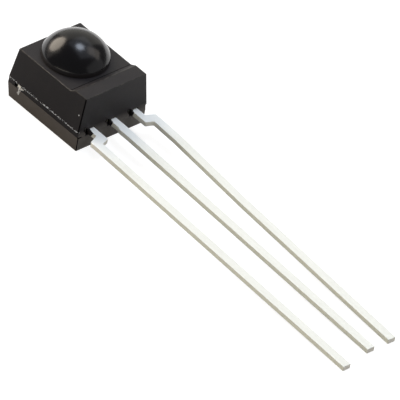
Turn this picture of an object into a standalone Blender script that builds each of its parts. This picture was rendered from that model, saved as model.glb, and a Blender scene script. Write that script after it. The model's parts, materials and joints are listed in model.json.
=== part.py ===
"""Infrared receiver module: three-lead through-hole package with a moulded lens dome.

The module lies on its back, dome up, as it lies on a table. Units are metres, +Z up.
X runs across the package, -Y is the direction of the leads, +Z is the way it looks.
The origin is under the middle of the whole length, leads included, at table height.
"""
import math

import bmesh
import bpy
import numpy as np
from mathutils import Matrix, Vector

# Fit and clearance
MOULD_FIT = 0.000015        # gap between the moulding and what it encloses
BOND_GAP = 0.000005         # gap between parts that are glued or bonded face to face
TABLE_GAP = 0.00001         # height of the lead tips over the table
MERGE = 1e-7                # merge distance for curve caps

# Moulded package, sizes at the parting plane
BODY_WIDTH = 0.0060
BODY_LENGTH = 0.00695
PARTING_Z = 0.00142         # parting plane, which is also the top of the lead frame
LENS_FACE_Z = 0.00374       # flat front face around the dome
PAD_Z = 0.0040              # raised pad at the lead end
PAD_END_Y = 0.00121         # where the pad ends and the ramp starts, from the lead end
RAMP_FOOT_Y = 0.00168       # where the ramp meets the front face
UPPER_SIDE_DRAFT = math.radians(8.35)
UPPER_FAR_DRAFT = math.radians(4.7)
UPPER_NEAR_DRAFT = math.radians(3.5)
LOWER_SIDE_DRAFT = math.radians(1.0)
LOWER_FAR_DRAFT = math.radians(14.5)
LOWER_NEAR_DRAFT = math.radians(1.0)
LOWER_NEAR_LEDGE = 0.00006  # the back half stands this far out under the leads
LOWER_SIDE_INSET = 0.00001  # and this far in at the sides and the far end
GROOVE_DEPTH = 0.00003      # groove left by the lead frame between the mould halves
GROOVE_LAP = 0.00012        # how far the groove core reaches into both halves
EDGE_RADIUS = 0.00006       # moulded edge radius

# Lens dome
DOME_SIDE_FLAT = 0.00034    # flat of the front face between the dome and a long edge
DOME_FAR_FLAT = 0.00024     # and between the dome and the far edge
SKIRT_HEIGHT = 0.00034
CAP_HEIGHT = 0.00141
SKIRT_DRAFT = 0.00002       # how much narrower the skirt is at its top
CREASE_RADIUS = 0.00016     # blend between skirt and cap
DOME_ROOT = 0.0003          # how far the dome's blank reaches into the package
DOME_STEPS = 72
CAP_ARC_STEPS = 16
CREASE_STEPS = 4

# Marks of the mould
EJECTOR_RADIUS = 0.0009
EJECTOR_DEPTH = 0.00005
EJECTOR_STEPS = 40
GATE_WIDTH = 0.0011         # cut gate stub on the far end, inside the groove
POCKET_SIDE = 0.00032       # room beside each lead in its exit pocket
POCKET_ABOVE = 0.00007
POCKET_DEPTH = 0.00028

# Lead frame
FRAME_THICKNESS = 0.00036
LEAD_PITCH = 0.00254        # pitch on the circuit board
EXIT_PITCH = 0.00191        # pitch where the leads leave the package
LEAD_WIDTH = 0.00062
EXIT_WIDTH = 0.00050
LEAD_LENGTH = 0.0256        # from the parting line to the tip
OUTPUT_LEAD_EXTRA = 0.0005  # the first lead was cut this much longer
OUTER_JOG_START = 0.00075   # distances from the package along the lead
OUTER_JOG_END = 0.00110
INNER_JOG_START = 0.00138
INNER_JOG_END = 0.00162
DROOP_START = 0.0018        # where the leads bend down towards the table
SUPPLY_BEND_1 = 0.0036      # the third lead is bent inwards twice on its way
SUPPLY_BEND_2 = 0.0105
SUPPLY_SLOPE_1 = 0.048
SUPPLY_SLOPE_2 = 0.0255
STAMP_RADIUS = 0.00009      # corner radius of the stamping

# Inside the package
DIE_PAD_WIDTH = 0.0025
DIE_PAD_NEAR_RIM = 0.00024  # pad past the receiver IC
DIE_PAD_FAR_RIM = 0.0010    # pad past the photodiode
NECK_WIDTH = 0.0009
NECK_SHARE = 0.35           # the neck's share of the way from the lead end to the pad
TIE_BAR_WIDTH = 0.00030
TIE_BAR_INSET = 0.00020     # tie bar axis from the far edge of the pad
TIE_BAR_PROUD = 0.00002     # cut ends stand this far out of the groove
POST_NEAR_SHARE = 0.275     # where a bond post starts and ends, as shares of the way to the pad
POST_FAR_SHARE = 0.85
POST_OUT = 0.00050          # how far a bond post reaches outwards of its lead's axis
POST_IN = 0.00052
PHOTODIODE_SIDE = 0.0017
PHOTODIODE_THICKNESS = 0.00028
IC_WIDTH = 0.0014
IC_DEPTH = 0.00080
IC_THICKNESS = 0.00025
DIE_GAP = 0.00031           # between the two dies
GLUE_THICKNESS = 0.000025
GLUE_MARGIN = 0.00006       # fillet of glue around a die
CHIP_EDGE = 0.00012         # bond pad centre to die edge

# Bond wires
WIRE_RADIUS = 0.000015
BALL_RADIUS = 0.000040
BALL_HEIGHT = 0.000024
BALL_STEPS = 16
WIRE_LOOP = 0.00022
WIRE_STEPS = 12
WIRE_FOOT = 0.00010         # wire pressed along the lead at its second bond

# Places along Y, with the package's lead end at NEAR_Y
TOTAL_LENGTH = BODY_LENGTH + LEAD_LENGTH + OUTPUT_LEAD_EXTRA
NEAR_Y = TOTAL_LENGTH / 2.0 - BODY_LENGTH
FRAME_BOTTOM_Z = PARTING_Z - FRAME_THICKNESS
DIE_BASE_Z = PARTING_Z + 2.0 * BOND_GAP + GLUE_THICKNESS

# Places that follow from the sizes, along Y from the package's lead end
LENS_RISE = LENS_FACE_Z - PARTING_Z
DOME_RADIUS = BODY_WIDTH / 2.0 - math.tan(UPPER_SIDE_DRAFT) * LENS_RISE - DOME_SIDE_FLAT
DOME_Y = BODY_LENGTH - math.tan(UPPER_FAR_DRAFT) * LENS_RISE - DOME_FAR_FLAT - DOME_RADIUS
IC_Y = DOME_Y - PHOTODIODE_SIDE / 2.0 - DIE_GAP - IC_DEPTH / 2.0
DIE_PAD_NEAR = IC_Y - IC_DEPTH / 2.0 - DIE_PAD_NEAR_RIM
DIE_PAD_FAR = DOME_Y + PHOTODIODE_SIDE / 2.0 + DIE_PAD_FAR_RIM
NECK_LENGTH = NECK_SHARE * DIE_PAD_NEAR
TIE_BAR_Y = DIE_PAD_FAR - TIE_BAR_INSET
POST_NEAR = POST_NEAR_SHARE * DIE_PAD_NEAR
POST_FAR = POST_FAR_SHARE * DIE_PAD_NEAR


def new_collection(name, parent=None):
    """Make a collection under another one, or under the scene."""
    collection = bpy.data.collections.new(name)
    (parent or bpy.context.scene.collection).children.link(collection)
    return collection


def make_material(name, colour, roughness, metallic=0.0):
    """Make a Principled BSDF material from a linear colour."""
    material = bpy.data.materials.new(name)
    material.use_nodes = True
    shader = material.node_tree.nodes["Principled BSDF"]
    shader.inputs["Base Color"].default_value = (*colour, 1.0)
    shader.inputs["Roughness"].default_value = roughness
    shader.inputs["Metallic"].default_value = metallic
    return material


def object_from_bmesh(name, bm, collection, material=None):
    """Turn a bmesh into an object and free the bmesh."""
    mesh = bpy.data.meshes.new(name)
    bm.to_mesh(mesh)
    bm.free()
    if material:
        mesh.materials.append(material)
    item = bpy.data.objects.new(name, mesh)
    collection.objects.link(item)
    return item


def as_cutter(item):
    """Hide a cutter and show it as wire."""
    item.hide_render = True
    item.display_type = "WIRE"
    return item


def box_bmesh(low, high):
    """A box from its lowest to its highest corner."""
    low, high = Vector(low), Vector(high)
    size = high - low
    place = Matrix.Translation((low + high) / 2.0) @ Matrix.Diagonal((*size, 1.0))
    bm = bmesh.new()
    bmesh.ops.create_cube(bm, size=1.0, matrix=place)
    return bm


def curve_bmesh(curve_object):
    """Read a curve object as a closed mesh, then remove the curve."""
    bpy.context.view_layer.update()
    evaluated = curve_object.evaluated_get(bpy.context.evaluated_depsgraph_get())
    mesh = bpy.data.meshes.new_from_object(evaluated)
    bm = bmesh.new()
    bm.from_mesh(mesh)
    bm.transform(curve_object.matrix_world)
    bpy.data.meshes.remove(mesh)
    bpy.data.objects.remove(curve_object, do_unlink=True)
    bmesh.ops.remove_doubles(bm, verts=bm.verts, dist=MERGE)
    return bm


def plate_bmesh(outline, low, high, turn=Matrix.Identity(4)):
    """A flat outline given as (x, y) points, solid from height low to height high."""
    curve = bpy.data.curves.new("outline", "CURVE")
    curve.dimensions = "2D"
    curve.fill_mode = "BOTH"
    curve.extrude = (high - low) / 2.0
    spline = curve.splines.new("POLY")
    spline.points.add(len(outline) - 1)
    for point, (x, y) in zip(spline.points, outline):
        point.co = (x, y, 0.0, 1.0)
    spline.use_cyclic_u = True
    item = bpy.data.objects.new("outline", curve)
    item.matrix_world = turn @ Matrix.Translation((0.0, 0.0, (low + high) / 2.0))
    bpy.context.scene.collection.objects.link(item)
    bm = curve_bmesh(item)
    bmesh.ops.dissolve_limit(bm, angle_limit=math.radians(0.5), verts=bm.verts, edges=bm.edges)
    bmesh.ops.recalc_face_normals(bm, faces=bm.faces)
    return bm


def round_edges(bm, chosen, radius, segments=2):
    """Round the chosen edges of a mesh."""
    bmesh.ops.bevel(bm, geom=chosen, offset=radius, segments=segments, profile=0.5,
                    affect="EDGES", clamp_overlap=True)


def is_upright(edge):
    """Whether an edge stands along Z."""
    start, end = edge.verts[0].co, edge.verts[1].co
    return (start - end).xy.length < MERGE


def grown_copy(name, item, growth, collection):
    """A copy of a flat-faced solid whose every face lies growth further out."""
    depsgraph = bpy.context.evaluated_depsgraph_get()
    bm = bmesh.new()
    bm.from_object(item, depsgraph)
    moves = []
    for vert in bm.verts:
        normals = np.array([tuple(face.normal) for face in vert.link_faces])
        reach = np.full(len(normals), growth)
        moves.append(np.linalg.lstsq(normals, reach, rcond=1e-3)[0])
    for vert, move in zip(bm.verts, moves):
        vert.co += Vector([float(value) for value in move])
    return as_cutter(object_from_bmesh(name, bm, collection))


def add_boolean(item, operation, operand):
    """Join or cut an object with another one, or with all objects of a collection at once."""
    modifier = item.modifiers.new(f"{operation.lower()}_{operand.name}", "BOOLEAN")
    modifier.operation = operation
    modifier.solver = "EXACT"
    if isinstance(operand, bpy.types.Collection):
        modifier.operand_type = "COLLECTION"
        modifier.collection = operand
    else:
        modifier.object = operand


def package_half_bmesh(profile, width, side_draft):
    """A profile of (y, z) points across the package, narrowing away from the parting plane."""
    across = Matrix(((0, 0, 1, 0), (1, 0, 0, 0), (0, 1, 0, 0), (0, 0, 0, 1)))
    bm = plate_bmesh(profile, -width / 2.0, width / 2.0, across)
    for vert in bm.verts:
        lean = abs(vert.co.z - PARTING_Z) * math.tan(side_draft)
        vert.co.x -= math.copysign(lean, vert.co.x)
    return bm


def upper_half(collection):
    """Front half of the moulding, with the raised pad and the ramp."""
    near_lean = math.tan(UPPER_NEAR_DRAFT) * (PAD_Z - PARTING_Z)
    far_lean = math.tan(UPPER_FAR_DRAFT) * LENS_RISE
    far_y = NEAR_Y + BODY_LENGTH
    profile = [(NEAR_Y, PARTING_Z), (far_y, PARTING_Z), (far_y - far_lean, LENS_FACE_Z),
               (NEAR_Y + RAMP_FOOT_Y, LENS_FACE_Z), (NEAR_Y + PAD_END_Y, PAD_Z),
               (NEAR_Y + near_lean, PAD_Z)]
    bm = package_half_bmesh(profile, BODY_WIDTH, UPPER_SIDE_DRAFT)
    above = PARTING_Z + MERGE
    free = [edge for edge in bm.edges if max(v.co.z for v in edge.verts) > above]
    inner = [edge for edge in free
             if all(abs(v.co.y - NEAR_Y - RAMP_FOOT_Y) < MERGE for v in edge.verts)]
    round_edges(bm, [edge for edge in free if edge not in inner], EDGE_RADIUS)
    return object_from_bmesh("upper_half", bm, collection)


def lower_half(collection):
    """Back half of the moulding."""
    inset = LOWER_SIDE_INSET
    far_y = NEAR_Y + BODY_LENGTH - inset
    near_y = NEAR_Y - LOWER_NEAR_LEDGE
    far_lean = math.tan(LOWER_FAR_DRAFT) * FRAME_BOTTOM_Z
    near_lean = math.tan(LOWER_NEAR_DRAFT) * FRAME_BOTTOM_Z
    profile = [(near_y + near_lean, 0.0), (far_y - far_lean, 0.0),
               (far_y, FRAME_BOTTOM_Z), (near_y, FRAME_BOTTOM_Z)]
    bm = package_half_bmesh(profile, BODY_WIDTH - 2.0 * inset, LOWER_SIDE_DRAFT)
    below = FRAME_BOTTOM_Z - MERGE
    free = [edge for edge in bm.edges if min(v.co.z for v in edge.verts) < below]
    round_edges(bm, free, EDGE_RADIUS)
    return as_cutter(object_from_bmesh("lower_half", bm, collection))


def groove_core(collection):
    """What stands between the two halves, set back by the groove's depth."""
    side = BODY_WIDTH / 2.0 - GROOVE_DEPTH
    low = (-side, NEAR_Y + GROOVE_DEPTH, FRAME_BOTTOM_Z - GROOVE_LAP)
    high = (side, NEAR_Y + BODY_LENGTH - GROOVE_DEPTH, PARTING_Z + GROOVE_LAP)
    return as_cutter(object_from_bmesh("groove_core", box_bmesh(low, high), collection))


def gate_stub(collection):
    """The cut gate on the far end, flush with the parting line."""
    far_y = NEAR_Y + BODY_LENGTH
    low = (-GATE_WIDTH / 2.0, far_y - GROOVE_LAP, FRAME_BOTTOM_Z - GROOVE_LAP / 2.0)
    high = (GATE_WIDTH / 2.0, far_y - LOWER_SIDE_INSET, PARTING_Z + GROOVE_LAP / 2.0)
    return as_cutter(object_from_bmesh("gate_stub", box_bmesh(low, high), collection))


def dome_profile():
    """Half section of the dome as (radius, height) points, from its top down to its root."""
    top_radius = DOME_RADIUS - SKIRT_DRAFT
    ball_radius = (top_radius ** 2 + CAP_HEIGHT ** 2) / (2.0 * CAP_HEIGHT)
    centre_z = LENS_FACE_Z + SKIRT_HEIGHT + CAP_HEIGHT - ball_radius
    rim_angle = math.asin(top_radius / ball_radius)
    crease_angle = CREASE_RADIUS / ball_radius
    points = []
    for step in range(CAP_ARC_STEPS + 1):
        angle = (rim_angle - crease_angle) * step / CAP_ARC_STEPS
        points.append((ball_radius * math.sin(angle), centre_z + ball_radius * math.cos(angle)))
    start = Vector(points[-1])
    corner = Vector((top_radius, centre_z + ball_radius * math.cos(rim_angle)))
    end = corner - Vector((0.0, CREASE_RADIUS))
    for step in range(1, CREASE_STEPS + 1):
        t = step / CREASE_STEPS
        blend = start * (1.0 - t) ** 2 + corner * 2.0 * t * (1.0 - t) + end * t ** 2
        points.append(tuple(blend))
    points.append((DOME_RADIUS, LENS_FACE_Z))
    points.append((DOME_RADIUS, LENS_FACE_Z - DOME_ROOT))
    points.append((0.0, LENS_FACE_Z - DOME_ROOT))
    return points


def dome(collection):
    """The lens dome, turned about its axis."""
    mesh = bpy.data.meshes.new("dome")
    points = dome_profile()
    edges = [(index, index + 1) for index in range(len(points) - 1)]
    mesh.from_pydata([(radius, 0.0, z) for radius, z in points], edges, [])
    item = bpy.data.objects.new("dome", mesh)
    collection.objects.link(item)
    item.location = (0.0, NEAR_Y + DOME_Y, 0.0)
    screw = item.modifiers.new("turn", "SCREW")
    screw.axis = "Z"
    screw.steps = DOME_STEPS
    screw.render_steps = DOME_STEPS
    screw.use_merge_vertices = True
    screw.merge_threshold = MERGE
    return as_cutter(item)


def ejector_mark(collection):
    """Shallow round mark of the ejector pin in the middle of the back."""
    bm = bmesh.new()
    middle = (0.0, NEAR_Y + BODY_LENGTH / 2.0, 0.0)
    bmesh.ops.create_cone(bm, cap_ends=True, segments=EJECTOR_STEPS, radius1=EJECTOR_RADIUS,
                          radius2=EJECTOR_RADIUS, depth=2.0 * EJECTOR_DEPTH,
                          matrix=Matrix.Translation(middle))
    return as_cutter(object_from_bmesh("ejector_mark", bm, collection))


def exit_pocket(name, x, collection):
    """The recess around one lead where it leaves the package."""
    half = EXIT_WIDTH / 2.0 + POCKET_SIDE
    low = (x - half, NEAR_Y - 2.0 * POCKET_DEPTH, FRAME_BOTTOM_Z)
    high = (x + half, NEAR_Y + POCKET_DEPTH, PARTING_Z + POCKET_ABOVE)
    return as_cutter(object_from_bmesh(name, box_bmesh(low, high), collection))


def lead_outline(side, length, inner_end):
    """Outline of one lead outside the package as (x, y) points, clockwise from its root.

    side is -1, 0 or 1 for the left, middle or right lead, and inner_end is the
    list of points that the lead has inside the package, from its right to its left edge.
    """
    axis, root = side * LEAD_PITCH, side * EXIT_PITCH
    half, root_half = LEAD_WIDTH / 2.0, EXIT_WIDTH / 2.0
    outer = (NEAR_Y - OUTER_JOG_START, NEAR_Y - OUTER_JOG_END)
    inner = (NEAR_Y - INNER_JOG_START, NEAR_Y - INNER_JOG_END)
    right, left = (outer, inner) if side > 0 else (inner, outer)
    if side == 0:
        right = left = outer
    tip = NEAR_Y - length
    return inner_end + [(root - root_half, left[0]), (axis - half, left[1]), (axis - half, tip),
                        (axis + half, tip), (axis + half, right[1]), (root + root_half, right[0])]


def bend_lead(bm, start, slope, axis):
    """Bend all of a lead past a line across it: slope is the rise per length along an axis."""
    line_y = NEAR_Y - start
    bmesh.ops.bisect_plane(bm, geom=bm.verts[:] + bm.edges[:] + bm.faces[:], dist=MERGE,
                           plane_co=(0.0, line_y, 0.0), plane_no=(0.0, 1.0, 0.0))
    for vert in bm.verts:
        if vert.co.y < line_y:
            vert.co[axis] += slope * (line_y - vert.co.y)


def make_lead(name, outline, length, bends, collection, material):
    """Stamp a lead from its outline, then bend it: down to the table, and sideways by bends."""
    bm = plate_bmesh(outline, FRAME_BOTTOM_Z, PARTING_Z)
    tip = NEAR_Y - length
    corners = [edge for edge in bm.edges if is_upright(edge) and edge.verts[0].co.y > tip + MERGE]
    round_edges(bm, corners, STAMP_RADIUS)
    bmesh.ops.remove_doubles(bm, verts=bm.verts, dist=MERGE)
    droop = (FRAME_BOTTOM_Z - TABLE_GAP) / (length - DROOP_START)
    bend_lead(bm, DROOP_START, -droop, 2)
    for start, slope in bends:
        bend_lead(bm, start, slope, 0)
    return object_from_bmesh(name, bm, collection, material)


def post_outline(side):
    """Inside end of an outer lead, a bond post that locks it in the moulding."""
    root, half = side * EXIT_PITCH, EXIT_WIDTH / 2.0
    right, left = (POST_OUT, POST_IN) if side > 0 else (POST_IN, POST_OUT)
    near, far = NEAR_Y + POST_NEAR, NEAR_Y + POST_FAR
    return [(root + half, near), (root + right, near), (root + right, far),
            (root - left, far), (root - left, near), (root - half, near)]


def die_pad_outline():
    """Inside end of the ground lead: neck, die pad, and tie bars out to both sides."""
    half, neck, pad = EXIT_WIDTH / 2.0, NECK_WIDTH / 2.0, DIE_PAD_WIDTH / 2.0
    neck_y, near, far = NEAR_Y + DIE_PAD_NEAR - NECK_LENGTH, NEAR_Y + DIE_PAD_NEAR, NEAR_Y + DIE_PAD_FAR
    bar_low = NEAR_Y + TIE_BAR_Y - TIE_BAR_WIDTH / 2.0
    bar_high = bar_low + TIE_BAR_WIDTH
    end = BODY_WIDTH / 2.0 - GROOVE_DEPTH + TIE_BAR_PROUD
    right = [(half, neck_y), (neck, neck_y), (neck, near), (pad, near), (pad, bar_low),
             (end, bar_low), (end, bar_high), (pad, bar_high), (pad, far)]
    left = [(-x, y) for x, y in reversed(right)]
    return right + left


def make_block(name, centre, size, base_z, collection, material):
    """A die or a layer of glue: centre is (x, y), size is (x, y, z), from base_z up."""
    low = (centre[0] - size[0] / 2.0, centre[1] - size[1] / 2.0, base_z)
    high = (centre[0] + size[0] / 2.0, centre[1] + size[1] / 2.0, base_z + size[2])
    return object_from_bmesh(name, box_bmesh(low, high), collection, material)


def wire_points(start, end):
    """Loop of a bond wire: up from its ball, over, and down to lie along the second bond."""
    start, end = Vector(start), Vector(end)
    points = []
    for step in range(WIRE_STEPS + 1):
        t = step / WIRE_STEPS
        point = start.lerp(end, t)
        point.z += WIRE_LOOP * math.sin(math.pi * t ** 0.7)
        points.append(point)
    along = (end - start).xy.normalized().to_3d()
    points.append(end + along * WIRE_FOOT)
    return points


def wire_bmesh(points, radius):
    """A round wire through points."""
    curve = bpy.data.curves.new("wire", "CURVE")
    curve.dimensions = "3D"
    curve.bevel_depth = radius
    curve.bevel_resolution = 2
    curve.use_fill_caps = True
    spline = curve.splines.new("POLY")
    spline.points.add(len(points) - 1)
    for point, place in zip(spline.points, points):
        point.co = (*place, 1.0)
    item = bpy.data.objects.new("wire", curve)
    bpy.context.scene.collection.objects.link(item)
    bm = curve_bmesh(item)
    bmesh.ops.recalc_face_normals(bm, faces=bm.faces)
    return bm


def ball_bmesh(foot, growth):
    """The ball bond that a wire starts from, standing on foot."""
    bm = bmesh.new()
    centre = Vector(foot) + Vector((0.0, 0.0, BALL_HEIGHT / 2.0))
    bmesh.ops.create_cone(bm, cap_ends=True, segments=BALL_STEPS, radius1=BALL_RADIUS + growth,
                          radius2=BALL_RADIUS + growth, depth=BALL_HEIGHT + 2.0 * growth,
                          matrix=Matrix.Translation(centre))
    return bm


def make_wire(name, start, end, collection, cutters, rooms, material):
    """A bond wire from the top of a die to another bonding face, and its room in the moulding.

    start and end are points on the faces that the wire is bonded to.
    """
    foot = Vector(start) + Vector((0.0, 0.0, BOND_GAP))
    first = foot + Vector((0.0, 0.0, BALL_HEIGHT / 2.0))
    second = Vector(end) + Vector((0.0, 0.0, BOND_GAP + WIRE_RADIUS))
    points = wire_points(first, second)
    wire = object_from_bmesh(name, wire_bmesh(points, WIRE_RADIUS), collection, material)
    ball = object_from_bmesh(f"{name}_ball", ball_bmesh(foot, 0.0), cutters)
    add_boolean(wire, "UNION", as_cutter(ball))
    room = wire_bmesh(points, WIRE_RADIUS + MOULD_FIT)
    as_cutter(object_from_bmesh(f"{name}_room", room, rooms))
    ball_room = ball_bmesh(foot, MOULD_FIT)
    as_cutter(object_from_bmesh(f"{name}_ball_room", ball_room, rooms))


def shade_round(item, angle):
    """Smooth shading with sharp edges past an angle."""
    item.data.shade_smooth()
    item.data.set_sharp_from_angle(angle=angle)


def build():
    """Build the module: lead frame, dies, wires, then the moulding around them."""
    for item in list(bpy.data.objects):
        bpy.data.objects.remove(item, do_unlink=True)
    parts = new_collection("infrared_receiver_module")
    cutters = new_collection("cutters")
    blocks = new_collection("package_blocks", cutters)
    rooms = new_collection("package_cuts", cutters)

    epoxy = make_material("black_epoxy", (0.022, 0.022, 0.023), 0.55)
    tin = make_material("tin_plated_copper", (0.78, 0.78, 0.75), 0.35, 1.0)
    silicon = make_material("silicon", (0.08, 0.09, 0.13), 0.25, 0.4)
    glue = make_material("silver_epoxy", (0.55, 0.55, 0.53), 0.6, 0.6)
    gold = make_material("gold", (0.9, 0.62, 0.22), 0.3, 1.0)

    output_length = LEAD_LENGTH + OUTPUT_LEAD_EXTRA
    output = make_lead("output_lead", lead_outline(-1, output_length, post_outline(-1)),
                       output_length, [], parts, tin)
    ground = make_lead("ground_lead", lead_outline(0, LEAD_LENGTH, die_pad_outline()),
                       LEAD_LENGTH, [], parts, tin)
    supply_bends = [(SUPPLY_BEND_1, -SUPPLY_SLOPE_1), (SUPPLY_BEND_2, SUPPLY_SLOPE_1 - SUPPLY_SLOPE_2)]
    supply = make_lead("supply_lead", lead_outline(1, LEAD_LENGTH, post_outline(1)),
                       LEAD_LENGTH, supply_bends, parts, tin)

    glue_z = PARTING_Z + BOND_GAP
    diode_y, ic_y = NEAR_Y + DOME_Y, NEAR_Y + IC_Y
    margin = 2.0 * GLUE_MARGIN
    diode_glue = make_block("photodiode_adhesive", (0.0, diode_y),
                            (PHOTODIODE_SIDE + margin, PHOTODIODE_SIDE + margin, GLUE_THICKNESS),
                            glue_z, parts, glue)
    ic_glue = make_block("receiver_ic_adhesive", (0.0, ic_y),
                         (IC_WIDTH + margin, IC_DEPTH + margin, GLUE_THICKNESS), glue_z, parts, glue)
    diode = make_block("photodiode_die", (0.0, diode_y),
                       (PHOTODIODE_SIDE, PHOTODIODE_SIDE, PHOTODIODE_THICKNESS),
                       DIE_BASE_Z, parts, silicon)
    ic = make_block("receiver_ic_die", (0.0, ic_y), (IC_WIDTH, IC_DEPTH, IC_THICKNESS),
                    DIE_BASE_Z, parts, silicon)

    ic_top = DIE_BASE_Z + IC_THICKNESS
    diode_top = DIE_BASE_Z + PHOTODIODE_THICKNESS
    ic_near, ic_far = ic_y - IC_DEPTH / 2.0 + CHIP_EDGE, ic_y + IC_DEPTH / 2.0 - CHIP_EDGE
    ic_side = IC_WIDTH / 2.0 - CHIP_EDGE
    diode_near = diode_y - PHOTODIODE_SIDE / 2.0 + CHIP_EDGE
    post_y = NEAR_Y + POST_FAR - 2.0 * CHIP_EDGE
    post_x = EXIT_PITCH - POST_IN / 2.0
    neck_y = NEAR_Y + DIE_PAD_NEAR - NECK_LENGTH / 2.0
    wires = (("photodiode_bond_wire", (ic_side / 2.0, diode_near, diode_top),
              (ic_side / 2.0, ic_far, ic_top)),
             ("output_bond_wire", (-ic_side, ic_near, ic_top), (-post_x, post_y, PARTING_Z)),
             ("supply_bond_wire", (ic_side, ic_near, ic_top), (post_x, post_y, PARTING_Z)),
             ("ground_bond_wire", (0.0, ic_near, ic_top), (0.0, neck_y, PARTING_Z)))
    for name, start, end in wires:
        make_wire(name, start, end, parts, cutters, rooms, gold)

    bpy.context.view_layer.update()
    for piece in (output, ground, supply, diode_glue, ic_glue, diode, ic):
        grown_copy(f"{piece.name}_room", piece, MOULD_FIT, rooms)

    package = upper_half(parts)
    package.name = package.data.name = "package_body"
    package.data.materials.append(epoxy)
    for add_block in (groove_core, lower_half, gate_stub, dome):
        add_block(blocks)
    add_boolean(package, "UNION", blocks)
    ejector_mark(rooms)
    for name, side in (("output_pocket", -1), ("ground_pocket", 0), ("supply_pocket", 1)):
        exit_pocket(name, side * EXIT_PITCH, rooms)
    add_boolean(package, "DIFFERENCE", rooms)
    for item in parts.objects:
        shade_round(item, math.radians(25.0))


build()
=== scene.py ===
"""Looks of the infrared receiver module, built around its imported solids.

The moulded box, its lens dome and the three stamped leads are modelled again with their fine
edges and finishes, over the solids they stand for. The dies, glue and bond wires stay as packed.
"""
import json
import logging
import math
from collections.abc import Callable
from dataclasses import dataclass, field
from enum import Enum, IntEnum
from typing import Any, NamedTuple, Optional, Union

import bmesh
import bpy
from bmesh.types import BMEdge, BMFace
from mathutils import Matrix, Vector


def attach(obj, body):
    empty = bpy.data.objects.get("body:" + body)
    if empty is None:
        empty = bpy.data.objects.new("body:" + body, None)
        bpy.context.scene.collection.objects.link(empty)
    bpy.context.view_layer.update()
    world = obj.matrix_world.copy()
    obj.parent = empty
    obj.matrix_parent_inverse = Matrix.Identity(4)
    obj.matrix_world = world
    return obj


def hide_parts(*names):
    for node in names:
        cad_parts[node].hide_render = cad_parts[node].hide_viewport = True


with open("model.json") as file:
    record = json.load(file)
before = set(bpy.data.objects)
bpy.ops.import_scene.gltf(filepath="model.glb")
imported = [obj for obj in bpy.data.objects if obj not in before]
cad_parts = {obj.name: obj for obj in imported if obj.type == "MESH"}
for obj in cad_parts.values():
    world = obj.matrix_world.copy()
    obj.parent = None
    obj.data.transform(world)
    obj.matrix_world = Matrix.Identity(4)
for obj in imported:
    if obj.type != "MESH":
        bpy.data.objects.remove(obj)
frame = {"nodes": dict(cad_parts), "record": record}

MM = 0.001
NEAR_END = 9.575            # the package's lead end along Y, in mm
CLOSE = 0.002               # how near a point is taken to be at a place, in mm
PAST = 1.0                  # how far a cutting tool reaches past the piece, in mm
MERGE = 1e-8                # points nearer than this are one, in metres
FACING = 0.9                # least share of a face's normal along the way that it looks
HARD_ANGLE = 18.0           # edges sharper than this many degrees get rounded
MIX_A, MIX_B, MIX_RESULT = 6, 7, 2      # colour sockets of a Mix node
WHITE = "#FFFFFF"
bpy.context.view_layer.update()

Point = tuple[float, float, float]
Span = tuple[float, float]
Source = Union[bpy.types.Node, bpy.types.NodeSocket]

log = logging.getLogger("receiver")


# Modelling by hand


class Pick(Enum):
    """What an edit-mode selection holds."""

    VERT = "verts"
    EDGE = "edges"
    FACE = "faces"


class Combine(Enum):
    """What a tool does to a piece."""

    CUT = "DIFFERENCE"
    ADD = "UNION"


class Spot(NamedTuple):
    """A place in mm."""

    x: float
    y: float
    z: float


def middle(face: BMFace) -> Spot:
    """Where a face's centre is, in mm."""
    return Spot(*(value / MM for value in face.calc_center_median()))


def lowest(edge: BMEdge) -> float:
    """Height of an edge's lower end in mm."""
    return min(vert.co.z for vert in edge.verts) / MM


def highest(edge: BMEdge) -> float:
    """Height of an edge's upper end in mm."""
    return max(vert.co.z for vert in edge.verts) / MM


def is_upright(edge: BMEdge) -> bool:
    """Whether an edge rises by more than half its length."""
    start, end = (vert.co for vert in edge.verts)
    return abs(start.z - end.z) > 0.5 * (start - end).length


def is_hard(edge: BMEdge) -> bool:
    """Whether an edge stands out and is sharp enough to be rounded."""
    return edge.is_convex and edge.calc_face_angle(0.0) > math.radians(HARD_ANGLE)


def at(value: float, place: float) -> bool:
    """Whether a coordinate in metres is at a place in mm."""
    return abs(value / MM - place) < CLOSE


def metres(place: Point) -> Point:
    """Turn a place in mm into metres."""
    return tuple(value * MM for value in place)


def open_piece(name: str) -> bpy.types.Object:
    """Name the active object, apply its place and size, and open it in edit mode.

    Args:
        name: name of the piece and its mesh.

    Returns:
        The object, in edit mode.
    """
    item = bpy.context.active_object
    item.name = item.data.name = name
    bpy.ops.object.transform_apply(location=True, rotation=True, scale=True)
    bpy.ops.object.mode_set(mode="EDIT")
    return item


def start_block(name: str, low: Point, high: Point) -> bpy.types.Object:
    """Add a cube primitive at its size and place, and open it in edit mode.

    Args:
        name: name of the new piece.
        low: lowest corner in mm.
        high: highest corner in mm.

    Returns:
        The new object, in edit mode.
    """
    bpy.ops.object.select_all(action="DESELECT")
    centre = (Vector(low) + Vector(high)) / 2.0 * MM
    size = (Vector(high) - Vector(low)) * MM
    bpy.ops.mesh.primitive_cube_add(size=1.0, location=centre, scale=size)
    return open_piece(name)


def start_pin(name: str, radius: float, depth: float, place: Point, vertices: int,
              tilt: float = 0.0) -> bpy.types.Object:
    """Add a round pin and open it in edit mode.

    Args:
        name: name of the new piece.
        radius: its radius in mm.
        depth: its length in mm.
        place: its middle in mm.
        vertices: how many corners its outline has.
        tilt: its turn about X from upright, in radians.

    Returns:
        The new object, in edit mode.
    """
    bpy.ops.object.select_all(action="DESELECT")
    bpy.ops.mesh.primitive_cylinder_add(vertices=vertices, radius=radius * MM, depth=depth * MM,
                                        location=metres(place), rotation=(tilt, 0.0, 0.0))
    return open_piece(name)


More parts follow.
